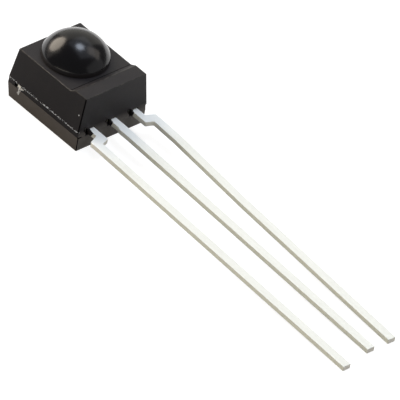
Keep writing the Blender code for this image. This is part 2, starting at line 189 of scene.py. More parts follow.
def extrude(x: float = 0.0, y: float = 0.0, z: float = 0.0) -> None:
    """Extrude the selection by a move in mm."""
    bpy.ops.mesh.extrude_region_move(TRANSFORM_OT_translate={"value": metres((x, y, z))})


def move(x: float = 0.0, y: float = 0.0, z: float = 0.0) -> None:
    """Move the selection by mm."""
    bpy.ops.transform.translate(value=metres((x, y, z)))


def resize(factors: Point, centre: Point) -> None:
    """Scale the selection about a centre in mm."""
    bpy.ops.transform.resize(value=factors, center_override=metres(centre))


def bisect(place: Point, normal: Point, cut_off: bool = False) -> None:
    """Cut the whole mesh along a plane.

    Args:
        place: a point of the plane in mm.
        normal: the plane's normal.
        cut_off: drop the side that the normal points away from and close the cut.
    """
    bpy.ops.mesh.select_all(action="SELECT")
    bpy.ops.mesh.bisect(plane_co=metres(place), plane_no=normal, threshold=MERGE,
                        use_fill=cut_off, clear_inner=cut_off)


def bevel(width: float, segments: int, slot: int = -1) -> None:
    """Round the selected edges.

    Args:
        width: width of the rounding in mm.
        segments: faces across it.
        slot: material slot of the new faces, or -1 for their neighbours' slot.
    """
    bpy.ops.mesh.bevel(offset=width * MM, segments=segments, profile=0.5, affect="EDGES",
                       clamp_overlap=True, material=slot, offset_type="OFFSET")


def dress(item: bpy.types.Object, *materials: bpy.types.Material) -> None:
    """Give a piece its material slots in order; its faces keep their slot numbers.

    Args:
        item: the piece.
        *materials: its materials.
    """
    slots = item.data.materials
    for index, material in enumerate(materials):
        if index < len(slots):
            slots[index] = material
        else:
            slots.append(material)


@dataclass
class Piece:
    """A mesh that is modelled by hand."""

    item: bpy.types.Object = field(init=False, repr=False)

    def pick(self, kind: Pick, test: Callable[[Any], bool]) -> int:
        """Select elements by a test, and nothing else, in edit mode.

        Args:
            kind: what to select.
            test: gets a bmesh element and says whether it is selected.

        Returns:
            How many elements are selected.
        """
        bpy.ops.mesh.select_mode(type=kind.name)
        bpy.ops.mesh.select_all(action="DESELECT")
        bm = bmesh.from_edit_mesh(self.item.data)
        chosen = [element for element in getattr(bm, kind.value) if test(element)]
        for element in chosen:
            element.select_set(True)
        bm.select_flush_mode()
        bmesh.update_edit_mesh(self.item.data)
        return len(chosen)

    def assign(self, slot: int, test: Callable[[BMFace], bool]) -> None:
        """Give faces a material slot, in edit mode.

        Args:
            slot: number of the slot.
            test: says whether a face gets it.
        """
        self.pick(Pick.FACE, test)
        self.item.active_material_index = slot
        bpy.ops.object.material_slot_assign()

    def close(self, smooth_angle: float = 35.0) -> bpy.types.Object:
        """Leave edit mode with faces outwards and shade the piece.

        Args:
            smooth_angle: edges sharper than this many degrees stay sharp.

        Returns:
            The mesh's object.
        """
        bpy.ops.mesh.select_all(action="SELECT")
        bpy.ops.mesh.remove_doubles(threshold=MERGE)
        bpy.ops.mesh.normals_make_consistent(inside=False)
        bpy.ops.object.mode_set(mode="OBJECT")
        bpy.ops.object.shade_smooth_by_angle(angle=math.radians(smooth_angle))
        return self.item

    def modify(self, kind: str, **settings: Any) -> None:
        """Add a modifier with its settings and apply it, in object mode.

        Args:
            kind: the modifier's type.
            **settings: the modifier's properties.
        """
        bpy.ops.object.select_all(action="DESELECT")
        self.item.select_set(True)
        bpy.context.view_layer.objects.active = self.item
        modifier = self.item.modifiers.new(kind.lower(), kind)
        for name, value in settings.items():
            setattr(modifier, name, value)
        bpy.ops.object.modifier_apply(modifier=modifier.name)

    def combine(self, tool: bpy.types.Object, how: Combine = Combine.CUT) -> None:
        """Cut a tool's shape out of the piece, or add it on, and remove the tool.

        Args:
            tool: the tool, in edit mode.
            how: what the tool does.
        """
        bpy.ops.object.mode_set(mode="OBJECT")
        self.modify("BOOLEAN", operation=how.value, object=tool, solver="EXACT")
        bpy.data.objects.remove(tool, do_unlink=True)

    def hand_over(self, slot: str, *nodes: str) -> None:
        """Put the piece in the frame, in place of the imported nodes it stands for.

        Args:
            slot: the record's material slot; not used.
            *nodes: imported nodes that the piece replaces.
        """
        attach(self.item, "root")
        if nodes:
            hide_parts(*nodes)
        log.info("%s: %d faces", self.item.name, len(self.item.data.polygons))


# Finishes


def linear(code: str) -> tuple:
    """Turn an sRGB hex colour such as #2B2B2D into linear RGBA.

    Args:
        code: the colour.

    Returns:
        Linear red, green, blue and an alpha of 1.
    """
    parts = [int(code[start:start + 2], 16) / 255.0 for start in (1, 3, 5)]
    return (*[part / 12.92 if part <= 0.04045 else ((part + 0.055) / 1.055) ** 2.4
              for part in parts], 1.0)


def add_node(tree: bpy.types.NodeTree, kind: str, settings: Optional[dict] = None,
             links: Optional[dict[Any, Source]] = None) -> bpy.types.Node:
    """Add a node with its settings and links.

    Args:
        tree: where the node goes.
        kind: the node's type, without ShaderNode.
        settings: inputs by name or number, or else properties, and their values.
        links: inputs by name or number, and the sockets, or nodes' first sockets, that feed them.

    Returns:
        The new node.
    """
    node = tree.nodes.new("ShaderNode" + kind)
    for key, value in (settings or {}).items():
        if isinstance(key, int) or key in node.inputs:
            node.inputs[key].default_value = value
        else:
            setattr(node, key, value)
    for key, source in (links or {}).items():
        socket = source.outputs[0] if isinstance(source, bpy.types.Node) else source
        tree.links.new(socket, node.inputs[key])
    return node


def millimetres(tree: bpy.types.NodeTree, stretch: Point = (1.0, 1.0, 1.0)) -> bpy.types.Node:
    """Count Object coordinates in mm, so that a pattern's scale is in cycles for each mm.

    Args:
        tree: where the nodes go.
        stretch: factors that squeeze a pattern along the axes.

    Returns:
        The node that gives the coordinates.
    """
    coordinates = add_node(tree, "TexCoord")
    return add_node(tree, "Mapping", {"Scale": tuple(value / MM for value in stretch)},
                    {"Vector": coordinates.outputs["Object"]})


@dataclass(frozen=True)
class Finish:
    """What a surface is made of and how it was worked; each kind adds its own nodes."""

    name: str

    def shade(self, tree: bpy.types.NodeTree) -> bpy.types.Node:
        """Add the finish's nodes.

        Args:
            tree: the material's nodes.

        Returns:
            The shader.
        """
        raise NotImplementedError

    def make(self) -> bpy.types.Material:
        """Build the material.

        Returns:
            The new material.
        """
        material = bpy.data.materials.new(self.name)
        material.use_nodes = True
        material.node_tree.nodes.clear()
        add_node(material.node_tree, "OutputMaterial", {}, {"Surface": self.shade(material.node_tree)})
        return material


@dataclass(frozen=True)
class Plated(Finish):
    """A plating painted lighter near the package: painted light where the package shades it."""

    painted_light: str = ""             # hex colour of the painted light near the package; empty for metal that has none
    painted_light_at: Span = (5.4, 8.0)     # Y in mm between which the painted light fades in towards the package
    painted_light_share: float = 0.9

    def with_painted_light(self, tree: bpy.types.NodeTree, tint: Source) -> Source:
        """Blend a tint towards the painted light near the package.

        Args:
            tree: the material's nodes.
            tint: the plating's tint away from the package.

        Returns:
            The blended tint.
        """
        if not self.painted_light:
            return tint
        place = add_node(tree, "SeparateXYZ", {}, {0: millimetres(tree)})
        share = add_node(tree, "MapRange", {"From Min": self.painted_light_at[0], "From Max": self.painted_light_at[1],
                                            "To Max": self.painted_light_share}, {"Value": place.outputs["Y"]})
        blend = add_node(tree, "Mix", {"data_type": "RGBA", MIX_B: linear(self.painted_light)},
                         {0: share, MIX_A: tint})
        return blend.outputs[MIX_RESULT]


@dataclass(frozen=True)
class TwoTone(Plated):
    """A finish whose tint a fine pattern varies between two tones."""

    dark: str = "#000000"
    light: str = WHITE
    roughness: float = 0.5
    metallic: float = 0.0
    pattern: float = 10.0       # cycles per mm
    specular: float = 0.5
    ior: float = 1.5
    detail: float = 3.0
    coarseness: float = 0.5     # how strong the pattern's fine parts are
    stretch: Point = (1.0, 1.0, 1.0)
    levels: Span = (0.0, 1.0)   # noise levels between which the tones blend; close for crisp flecks
    relief: float = 0.0         # height of the pattern in mm

    def shade(self, tree: bpy.types.NodeTree) -> bpy.types.Node:
        """Add the nodes of the pattern and its two tones.

        Args:
            tree: the material's nodes.

        Returns:
            The shader.
        """
        pattern = add_node(tree, "TexNoise", {"Scale": self.pattern, "Detail": self.detail,
                                              "Roughness": self.coarseness},
                           {"Vector": millimetres(tree, self.stretch)})
        share = add_node(tree, "MapRange", {"From Min": self.levels[0], "From Max": self.levels[1]},
                         {"Value": pattern})
        tint = add_node(tree, "Mix", {"data_type": "RGBA", MIX_A: linear(self.dark),
                                      MIX_B: linear(self.light)}, {0: share})
        links = {"Base Color": self.with_painted_light(tree, tint.outputs[MIX_RESULT])}
        if self.relief:
            links["Normal"] = add_node(tree, "Bump", {"Strength": 0.7, "Distance": self.relief * MM},
                                       {"Height": pattern})
        return add_node(tree, "BsdfPrincipled",
                        {"Metallic": self.metallic, "Roughness": self.roughness,
                         "Specular IOR Level": self.specular, "IOR": self.ior}, links)


@dataclass(frozen=True)
class MouldedEpoxy(Finish):
    """Black infrared-passing epoxy, transfer moulded in a spark-eroded mould.

    The eye sees a soft black with a fine even grain and faint warm clouds. Along the long sides
    a thin flash was torn off at the parting line, which left a broken pale line there; that line
    is also a painted highlight, where the ledge's edge would catch the light.
    """

    name: str = "black_epoxy_moulded"
    dark: str = "#1F1E21"
    light: str = "#2C2929"
    # pale line at the parting: torn flash, and a painted highlight of the ledge's edge
    flash_and_highlight: str = "#D8DDE2"
    roughness: Span = (0.48, 0.60)
    specular: float = 0.20
    ior: float = 1.55
    grain: float = 9.0          # cycles per mm; eroded grain drawn coarser than its real 0.03 mm
    cloud: float = 0.9          # cycles per mm of the flow clouds
    relief: float = 0.0022      # height of the grain in mm
    seam: float = 1.455         # height of the pale line in mm
    seam_reach: float = 0.055   # half its greatest width in mm
    seam_side: float = 2.88     # the line lies further out than this from the middle, in mm
    seam_wander: float = 0.25   # how far it strays up and down, in mm
    tears: float = 5.6          # cycles per mm along the line
    torn_at: Span = (0.46, 0.60)    # noise levels between which the pale line starts to show
    speck: Point = (-2.82, 9.965, 2.63)     # a speck of dust on the left side, in mm
    speck_radius: float = 0.045
    # painted bounce light from the floor: a paler tint blended in towards the foot of a wall
    painted_bounce: str = "#6F6B66"
    painted_bounce_from: float = -1.0    # below this height in mm the painted bounce light is full,
    painted_bounce_to: float = -0.5      # and above this one there is none

    def shade(self, tree: bpy.types.NodeTree) -> bpy.types.Node:
        """Add the nodes of the grain, the clouds, the painted bounce light and the pale line of torn
        flash and painted highlight.

        Args:
            tree: the material's nodes.

        Returns:
            The shader.
        """
        place = millimetres(tree)
        grain = add_node(tree, "TexNoise", {"Scale": self.grain, "Detail": 3.0, "Roughness": 0.6},
                         {"Vector": place})
        cloud = add_node(tree, "TexNoise", {"Scale": self.cloud, "Detail": 4.0, "Roughness": 0.55},
                         {"Vector": place})
        tint = add_node(tree, "Mix", {"data_type": "RGBA", MIX_A: linear(self.dark),
                                      MIX_B: linear(self.light)}, {0: cloud})
        axes = add_node(tree, "SeparateXYZ", {}, {0: place})
        # painted bounce light: the tint turns paler towards the bottom
        lighter_share = add_node(tree, "MapRange", {"From Min": self.painted_bounce_to, "From Max": self.painted_bounce_from},
                        {"Value": axes.outputs["Z"]})
        for colour, share in ((self.painted_bounce, lighter_share), (self.flash_and_highlight, self.seam_mask(tree))):
            tint = add_node(tree, "Mix", {"data_type": "RGBA", MIX_B: linear(colour)},
                            {0: share, MIX_A: tint.outputs[MIX_RESULT]})
        rough = add_node(tree, "MapRange", {"To Min": self.roughness[0], "To Max": self.roughness[1]},
                         {"Value": grain})
        bump = add_node(tree, "Bump", {"Strength": 1.0, "Distance": self.relief * MM},
                        {"Height": grain})
        return add_node(tree, "BsdfPrincipled", {"Specular IOR Level": self.specular, "IOR": self.ior},
                        {"Base Color": tint.outputs[MIX_RESULT], "Roughness": rough, "Normal": bump})

    def seam_mask(self, tree: bpy.types.NodeTree) -> bpy.types.Node:
        """Find where the pale line of torn flash and painted highlight shows: on the long sides, near
        the parting line, with gaps.

        Args:
            tree: the material's nodes.

        Returns:
            A node that gives a factor from 0 to 1.
        """
        tears = add_node(tree, "TexNoise", {"Scale": self.tears, "Detail": 5.0, "Roughness": 0.72},
                         {"Vector": millimetres(tree, (1.0, 1.0, 3.0))})
        left = add_node(tree, "MapRange", {"From Min": self.torn_at[0], "From Max": self.torn_at[1]},
                        {"Value": tears})
        place = add_node(tree, "SeparateXYZ", {}, {0: millimetres(tree)})
        aside = add_node(tree, "SeparateColor", {}, {0: tears.outputs["Color"]})
        wander = add_node(tree, "Math", {"operation": "MULTIPLY_ADD", 1: 2.0 * self.seam_wander,
                                         2: -self.seam_wander}, {0: aside.outputs["Green"]})
        level = add_node(tree, "Math", {"operation": "ADD"}, {0: place.outputs["Z"], 1: wander})
        off = add_node(tree, "Math", {"operation": "SUBTRACT", 1: self.seam}, {0: level})
        off = add_node(tree, "Math", {"operation": "ABSOLUTE"}, {0: off})
        reach = add_node(tree, "Math", {"operation": "MULTIPLY", 1: self.seam_reach}, {0: left})
        near = add_node(tree, "Math", {"operation": "LESS_THAN"}, {0: off, 1: reach})
        across = add_node(tree, "Math", {"operation": "ABSOLUTE"}, {0: place.outputs["X"]})
        side = add_node(tree, "Math", {"operation": "GREATER_THAN", 1: self.seam_side}, {0: across})
        mask = add_node(tree, "Math", {"operation": "MULTIPLY"}, {0: near, 1: side})
        gap = add_node(tree, "VectorMath", {"operation": "DISTANCE", 1: self.speck},
                       {0: millimetres(tree)})
        lighter_share = add_node(tree, "Math", {"operation": "LESS_THAN", 1: self.speck_radius},
                        {0: gap.outputs["Value"]})
        return add_node(tree, "Math", {"operation": "MAXIMUM"}, {0: mask, 1: lighter_share})


@dataclass(frozen=True)
class PaintedEdgeHighlight(TwoTone):
    """The same epoxy, painted lighter along the rounded edges as a painted highlight.

    The eye sees a thin broken line, lighter than the faces beside it.
    """

    name: str = "black_epoxy_rubbed_edge"
    dark: str = "#171615"
    light: str = "#433F3B"
    roughness: float = 0.42
    pattern: float = 3.2        # breaks per mm along an edge
    specular: float = 0.25
    ior: float = 1.55
    detail: float = 5.0
    coarseness: float = 0.7
    levels: Span = (0.42, 0.68)


@dataclass(frozen=True)
class PaintedShadeLine(TwoTone):
    """Near-black, dull strips of painted shade: on the upright corners at the lead end, along the
    ramp's foot and in the slit at the left corner.

    The eye sees a thin line that swallows the light.
    """

    name: str = "black_epoxy_mould_joint"
    dark: str = "#050506"
    light: str = "#0C0B0B"
    roughness: float = 0.9
    pattern: float = 6.0        # cycles per mm of its faint mottling
    specular: float = 0.05
    coarseness: float = 0.6
    stretch: Point = (1.0, 1.0, 0.4)


@dataclass(frozen=True)
class PolishedEpoxy(Finish):
    """The same epoxy where the mould was polished for the lens.

    The eye sees a deep glossy black that mirrors the lamps, a little blurred.
    """

    name: str = "black_epoxy_polished"
    body: str = "#08070A"
    specular: float = 0.30
    ior: float = 1.57
    roughness: float = 0.15
    haze: float = 0.08          # how much the roughness changes over the lens
    ripple: float = 0.5         # cycles per mm of the mould's polishing waves
    relief: float = 0.0009      # their height in mm

    def shade(self, tree: bpy.types.NodeTree) -> bpy.types.Node:
        """Add the nodes of the polishing waves.

        Args:
            tree: the material's nodes.

        Returns:
            The shader.
        """
        waves = add_node(tree, "TexNoise", {"Scale": self.ripple, "Detail": 2.0, "Roughness": 0.4},
                         {"Vector": millimetres(tree)})
        rough = add_node(tree, "MapRange", {"To Min": self.roughness,
                                            "To Max": self.roughness + self.haze}, {"Value": waves})
        bump = add_node(tree, "Bump", {"Strength": 0.6, "Distance": self.relief * MM},
                        {"Height": waves})
        return add_node(tree, "BsdfPrincipled", {"Base Color": linear(self.body), "IOR": self.ior,
                                                 "Specular IOR Level": self.specular},
                        {"Roughness": rough, "Normal": bump})


@dataclass(frozen=True)
class TinPlating(Plated):
    """Matt electroplated tin on the rolled face of the lead frame.

    The eye sees a pale satin metal with faint rolling streaks along the lead.
    """

    name: str = "tin_plating_matt"
    bright: str = "#F2F5F0"
    dull: str = "#D7DAD2"
    # painted light near the package, where the package shades the tops
    painted_light: str = "#F6FAF8"
    metallic: float = 0.12
    roughness: Span = (0.45, 0.62)
    streak: float = 6.0         # streaks per mm across the lead
    grain: float = 5.0          # plating grain, cycles per mm
    relief: float = 0.0012      # mm

    def shade(self, tree: bpy.types.NodeTree) -> bpy.types.Node:
        """Add the nodes of the rolling streaks and the plating's grain.

        Args:
            tree: the material's nodes.

        Returns:
            The shader.
        """
        streaks = add_node(tree, "TexNoise", {"Scale": self.streak, "Detail": 3.0, "Roughness": 0.6},
                           {"Vector": millimetres(tree, (1.0, 0.06, 0.3))})
        grain = add_node(tree, "TexNoise", {"Scale": self.grain, "Detail": 3.0, "Roughness": 0.6},
                         {"Vector": millimetres(tree)})
        both = add_node(tree, "Math", {"operation": "ADD"}, {0: streaks, 1: grain})
        half = add_node(tree, "Math", {"operation": "MULTIPLY", 1: 0.5}, {0: both})
        tint = add_node(tree, "Mix", {"data_type": "RGBA", MIX_A: linear(self.dull),
                                      MIX_B: linear(self.bright)}, {0: half})
        rough = add_node(tree, "MapRange", {"To Min": self.roughness[0], "To Max": self.roughness[1]},
                         {"Value": streaks})
        bump = add_node(tree, "Bump", {"Strength": 0.5, "Distance": self.relief * MM},
                        {"Height": half})
        return add_node(tree, "BsdfPrincipled", {"Metallic": self.metallic},
                        {"Base Color": self.with_painted_light(tree, tint.outputs[MIX_RESULT]),
                         "Roughness": rough, "Normal": bump})


@dataclass(frozen=True)
class ShearedEdge(TwoTone):
    """Side of a lead, sheared by the stamping die and thinly plated.

    The eye sees a darker, yellower metal with short upright score marks.
    """

    name: str = "lead_sheared_edge"
    dark: str = "#D4D3C1"
    light: str = "#ECECDA"
    # painted light near the package, where the package shades the sides
    painted_light: str = "#FFFDF2"
    roughness: float = 0.5
    metallic: float = 0.08
    pattern: float = 7.0        # score marks per mm along the lead
    detail: float = 4.0
    coarseness: float = 0.65
    stretch: Point = (0.3, 1.0, 0.25)
    relief: float = 0.003


# The package


class ShellSlot(IntEnum):
    """Material slots of the moulded box."""

    FRONT = 0
    # the rounded edges, with a painted highlight
    RUBBED = 1
    # the back half's walls, painted lighter as bounce light from the floor
    BACK = 2
    # near-black strips of painted shade
    JOINT = 3
    # the wall at the leads, with painted bounce light towards its foot
    LEAD_END = 4


class LeadPlace(Enum):
    """Which lead it is, as its step along X."""

    OUTPUT = -1
    GROUND = 0
    SUPPLY = 1


@dataclass
class PackageShell(Piece):
    """The moulded box: two drafted halves, the groove between them, pad, ramp and lead pockets.

    Heights are above the back, and places along Y are from the lead end, all in mm. Drafts are
    in degrees.
    """

    half_width: float = 3.0
    length: float = 6.95
    parting: float = 1.42       # height of the front half's foot
    groove_floor: float = 1.06  # height of the back half's top
    lens_face: float = 3.74
    pad_top: float = 4.0
    pad_end: float = 1.21
    ramp_foot: float = 1.68
    side_draft: float = 8.35
    far_draft: float = 4.7
    near_draft: float = 3.5
    lower_side_draft: float = 1.0
    lower_far_draft: float = 14.5
    lower_near_draft: float = 1.0
    lower_inset: float = 0.01   # how far the back half stands in at its sides and far end
    lower_lip: float = 0.06     # how far it stands out at the lead end
    groove_depth: float = 0.03
    corner_radius: float = 0.045
    joint_radius: float = 0.085         # of the front half's left corner at the lead end,
    lower_joint_radius: float = 0.045   # and of the back half's
    edge_radius: float = 0.05
    crease: float = 0.03        # width of the rounding along the ramp's foot
    exit_pitch: float = 1.91
    exit_half: float = 0.25
    pocket_left: float = 0.2    # from the lead's edge; on its other side the recess is narrow
    pocket_right: float = 0.09
    pocket_above: float = 0.07
    pocket_depth: float = 0.28
    hollow: Point = (-0.44, 1.46, 0.17)     # x from the lead, height and radius of the round end
    hollow_depth: float = 0.2
    slit: Point = (2.68, 1.03, 1.12)        # at the left corner: inner x, and the two heights
    notch: tuple[float, ...] = (6.05, 6.33, 1.08, 1.34)     # along Y, and heights
    notch_depth: float = 0.22
    chipped: Span = (0.11, 0.08)    # the back half's right corner at the lead end, along X and Y
    ejector_radius: float = 0.9
    ejector_depth: float = 0.05
    gate_half: float = 0.55
    gate_root: float = 0.12     # how deep the gate stub's mesh reaches into the box
    gate_past: float = 0.06     # how far the stub spreads over the groove's edges
    front_zone: float = 0.5     # an edge with an end this far over the parting is the front half's
    side_zone: float = 0.6      # an edge this near to a side is a corner's or a side's
    joint_zone: float = 1.0     # a left edge this near to the lead end is the mould joint's
    ramp_zone: float = 0.2      # an edge is the crease's until this far past the ramp's foot
    lead_wall: float = 0.25     # a face this near to the lead end is its wall's
    # Shares of a face's normal along the axes, by which the finishes are given
    looks_along: float = 0.5    # a face looks along an axis from this share on
    end_y: float = -0.95        # the lead end's wall has less than this along Y
    corner_y: Span = (-0.985, -0.15)    # a rounded corner's faces lie between these along Y,
    corner_x: float = 0.17      # have more than this along X,
    corner_z: float = 0.3       # and less than this along Z
    lower_corner: float = -0.3  # the back half's left corner has less than this along X and Y

    @property
    def far(self) -> float:
        """Where the far end is along Y."""
        return NEAR_END + self.length

    @property
    def lower_near(self) -> float:
        """Where the back half's lead end is along Y."""
        return NEAR_END - self.lower_lip

    def lean(self, height: float, draft: float) -> float:
        """How far a wall has leaned in at a height above the parting plane, in mm."""
        return math.tan(math.radians(draft)) * height

    def build(self, *finishes: bpy.types.Material) -> bpy.types.Object:
        """Model the box from one cube, top half first, then the groove and the back half.

        Args:
            *finishes: materials in the order of ShellSlot.

        Returns:
            The finished mesh in object mode.
        """
        self.item = start_block("package_shell", (-self.half_width, NEAR_END, self.parting),
                                (self.half_width, self.far, self.lens_face))
        dress(self.item, *finishes)
        self.raise_pad()
        self.lean_upper_walls()
        self.add_back_half()
        self.close()
        self.cut_pockets()
        self.cut_damage()
        self.mark_mould()
        bpy.ops.object.mode_set(mode="EDIT")
        self.round_corners()
        self.round_edges()
        self.trim()
        self.assign_finishes()
        return self.close()

    def raise_pad(self) -> None:
        """Extrude the pad at the lead end and slope its far side into the ramp."""
        foot = NEAR_END + self.ramp_foot
        bisect((0.0, foot, 0.0), (0.0, 1.0, 0.0))
        self.pick(Pick.FACE, lambda face: face.normal.z > FACING and middle(face).y < foot)
        extrude(z=self.pad_top - self.lens_face)
        self.pick(Pick.VERT, lambda vert: at(vert.co.z, self.pad_top) and at(vert.co.y, foot))
        move(y=self.pad_end - self.ramp_foot)

    def lean_upper_walls(self) -> None:
        """Lean the walls of the top half by their drafts."""
        for level in (self.lens_face, self.pad_top):
            height = level - self.parting
            for end, shift in ((NEAR_END, self.lean(height, self.near_draft)),
                               (self.far, -self.lean(height, self.far_draft))):
                self.pick(Pick.VERT, lambda vert: at(vert.co.z, level) and at(vert.co.y, end))
                move(y=shift)
            self.pick(Pick.VERT, lambda vert: at(vert.co.z, level))
            narrowed = 1.0 - self.lean(height, self.side_draft) / self.half_width
            resize((narrowed, 1.0, 1.0), (0.0, 0.0, 0.0))

    def add_back_half(self) -> None:
        """Extrude the groove band and then the back half downwards from the top half.

        At the lead end the band is drawn out until it all but meets the wall above it.
        """
        self.pick(Pick.FACE, lambda face: face.normal.z < -FACING)
        bpy.ops.mesh.inset(thickness=self.groove_depth * MM, depth=0.0)
        extrude(z=self.groove_floor - self.parting)
        inset = NEAR_END + self.groove_depth
        for level, wall in ((self.parting, NEAR_END), (self.groove_floor, self.lower_near)):
            self.pick(Pick.VERT, lambda vert: at(vert.co.z, level) and at(vert.co.y, inset))
            move(y=wall + 2.0 * CLOSE - inset)
        self.pick(Pick.FACE, lambda face: face.normal.z < -FACING
                  and abs(middle(face).z - self.groove_floor) < CLOSE)
        extrude()
        start, end = self.lower_near + 2.0 * CLOSE, self.far - self.groove_depth
        lower_far = self.far - self.lower_inset
        wide = (self.half_width - self.lower_inset) / (self.half_width - self.groove_depth)
        longer = (lower_far - self.lower_near) / (end - start)
        resize((wide, longer, 1.0), (0.0, (start + end) / 2.0, 0.0))
        move(y=(lower_far + self.lower_near - start - end) / 2.0)
        extrude(z=-self.groove_floor)
        slim = 1.0 - self.lean(self.groove_floor, self.lower_side_draft) / self.half_width
        centre = (NEAR_END + self.far) / 2.0
        resize((slim, 1.0, 1.0), (0.0, centre, 0.0))
        for side, draft in ((1.0, self.lower_far_draft), (-1.0, self.lower_near_draft)):
            self.pick(Pick.VERT, lambda vert: at(vert.co.z, 0.0)
                      and side * (vert.co.y / MM - centre) > 0.0)
            move(y=-side * self.lean(self.groove_floor, draft))

    def cut(self, low: Point, high: Point) -> None:
        """Cut a box-shaped recess between two corners in mm, in object mode."""
        self.combine(start_block("cutting_tool", low, high))

    def cut_pockets(self) -> None:
        """Cut the recess around each lead exit, and the short slit at the left corner."""
        aside, height, radius = self.hollow
        for place in LeadPlace:
            x = place.value * self.exit_pitch
            self.cut((x - self.exit_half - self.pocket_left, self.lower_near - PAST, self.groove_floor),
                     (x + self.exit_half + self.pocket_right, NEAR_END + self.pocket_depth,
                      self.parting + self.pocket_above))
            self.combine(start_pin("hollow_pin", radius, 2.0 * self.hollow_depth,
                                   (x + aside, NEAR_END, height), vertices=20,
                                   tilt=math.pi / 2.0))
        inner, low, high = self.slit
        self.cut((-self.half_width - PAST, self.lower_near - PAST, low),
                 (-inner, NEAR_END + self.groove_depth, high))

    def cut_damage(self) -> None:
        """Break the groove out beside the left tie bar's cut end, and chip the right corner."""
        start, end, low, high = self.notch
        self.cut((-self.half_width - PAST, NEAR_END + start, low),
                 (self.notch_depth - self.half_width, NEAR_END + end, high))
        across, along = self.chipped
        self.cut((self.half_width - across, NEAR_END - PAST, -PAST),
                 (self.half_width + PAST, NEAR_END + along, self.parting))

    def mark_mould(self) -> None:
        """Press the ejector mark into the back, and add the cut gate stub on the far end."""
        self.combine(start_pin("ejector_pin", self.ejector_radius, 2.0 * self.ejector_depth,
                               (0.0, (NEAR_END + self.far) / 2.0, 0.0), vertices=40))
        self.combine(start_block("gate_stub", (-self.gate_half, self.far - self.gate_root,
                                               self.groove_floor - self.gate_past),
                                 (self.gate_half, self.far - 1.5 * self.lower_inset,
                                  self.parting + self.gate_past)), Combine.ADD)

    def by_side(self, edge: BMEdge) -> bool:
        """Whether an edge lies by one of the box's long sides."""
        return min(abs(vert.co.x) for vert in edge.verts) / MM > self.half_width - self.side_zone

    def by_joint(self, edge: BMEdge) -> bool:
        """Whether an edge lies where the mould's inserts met, at the left of the lead end."""
        return all(vert.co.x < 0.0 and vert.co.y / MM < NEAR_END + self.joint_zone
                   for vert in edge.verts)

    def in_back_half(self, edge: BMEdge) -> bool:
        """Whether an edge reaches the back and not over the groove's floor."""
        return highest(edge) < self.groove_floor + CLOSE and lowest(edge) < CLOSE

    def round_corners(self) -> None:
        """Round the front half's upright corners, wider where the mould's inserts met."""
        for radius, joint in ((self.joint_radius, True), (self.corner_radius, False)):
            self.pick(Pick.EDGE, lambda edge: is_upright(edge) and is_hard(edge)
                      and self.by_side(edge) and self.by_joint(edge) == joint
                      and highest(edge) > self.parting + self.front_zone)
            bevel(radius, segments=4)

    def round_edges(self) -> None:
        """Round the edges of the front and the back, and the crease at the ramp's foot."""
        self.pick(Pick.EDGE, lambda edge: is_hard(edge) and not is_upright(edge)
                  and lowest(edge) > self.parting + self.front_zone)
        # painted highlight on the rounded edges of the front half
        bevel(self.edge_radius, segments=3, slot=ShellSlot.RUBBED)
        self.pick(Pick.EDGE, lambda edge: is_upright(edge) and is_hard(edge) and self.by_side(edge)
                  and self.in_back_half(edge) and self.by_joint(edge))
        bevel(self.lower_joint_radius, segments=2)
        self.pick(Pick.EDGE, lambda edge: is_hard(edge) and self.by_side(edge)
                  and self.in_back_half(edge))
        # painted highlight on the rounded edges of the back half
        bevel(self.edge_radius, segments=3, slot=ShellSlot.RUBBED)
        crease_end = NEAR_END + self.ramp_foot + self.ramp_zone
        self.pick(Pick.EDGE, lambda edge: not edge.is_convex
                  and all(at(vert.co.z, self.lens_face) and vert.co.y / MM < crease_end
                          for vert in edge.verts))
        # painted shade in the crease along the ramp's foot
        bevel(self.crease, segments=1, slot=ShellSlot.JOINT)

    def trim(self) -> None:
        """Draw back the few points that the rounding pushed past the parting plane's outline."""
        for side in (-1.0, 1.0):
            if self.pick(Pick.VERT, lambda vert: side * vert.co.x / MM > self.half_width):
                resize((0.0, 1.0, 1.0), (side * self.half_width, 0.0, 0.0))
        if self.pick(Pick.VERT, lambda vert: vert.co.y / MM > self.far):
            resize((1.0, 0.0, 1.0), (0.0, self.far, 0.0))

    def assign_finishes(self) -> None:
        """Give the back half and the wall at the leads their painted bounce light, and the corners at
        the lead end and the slit their painted shade.
        """
        inner, low, high = self.slit
        nearest, least_near = self.corner_y
        # The back half's walls get the lighter epoxy: painted bounce light from the floor.
        self.assign(ShellSlot.BACK, lambda face: middle(face).z < self.groove_floor
                    and abs(face.normal.z) < self.looks_along
                    and face.material_index == ShellSlot.FRONT)
        # painted shade on the front half's rounded corners at the lead end
        self.assign(ShellSlot.JOINT, lambda face: middle(face).z > self.parting
                    and nearest < face.normal.y < least_near
                    and abs(face.normal.x) > self.corner_x and abs(face.normal.z) < self.corner_z)
        # The wall at the leads gets painted bounce light towards its foot.
        self.assign(ShellSlot.LEAD_END, lambda face: face.normal.y < self.end_y
                    and middle(face).y < NEAR_END + self.lead_wall)
        # painted shade on the back half's left corner at the lead end
        self.assign(ShellSlot.JOINT, lambda face: face.normal.x < self.lower_corner
                    and face.normal.y < self.lower_corner and middle(face).z < self.groove_floor)
        # painted shade in the slit at the left corner
        self.assign(ShellSlot.JOINT, lambda face: low - CLOSE < middle(face).z < high
                    and middle(face).x < CLOSE - inner
                    and abs(face.normal.x) < self.looks_along
                    and abs(middle(face).y - NEAR_END) < self.lower_lip)


class LensSlot(IntEnum):
    """Material slots of the lens dome."""

    CAP = 0
    SKIRT = 1


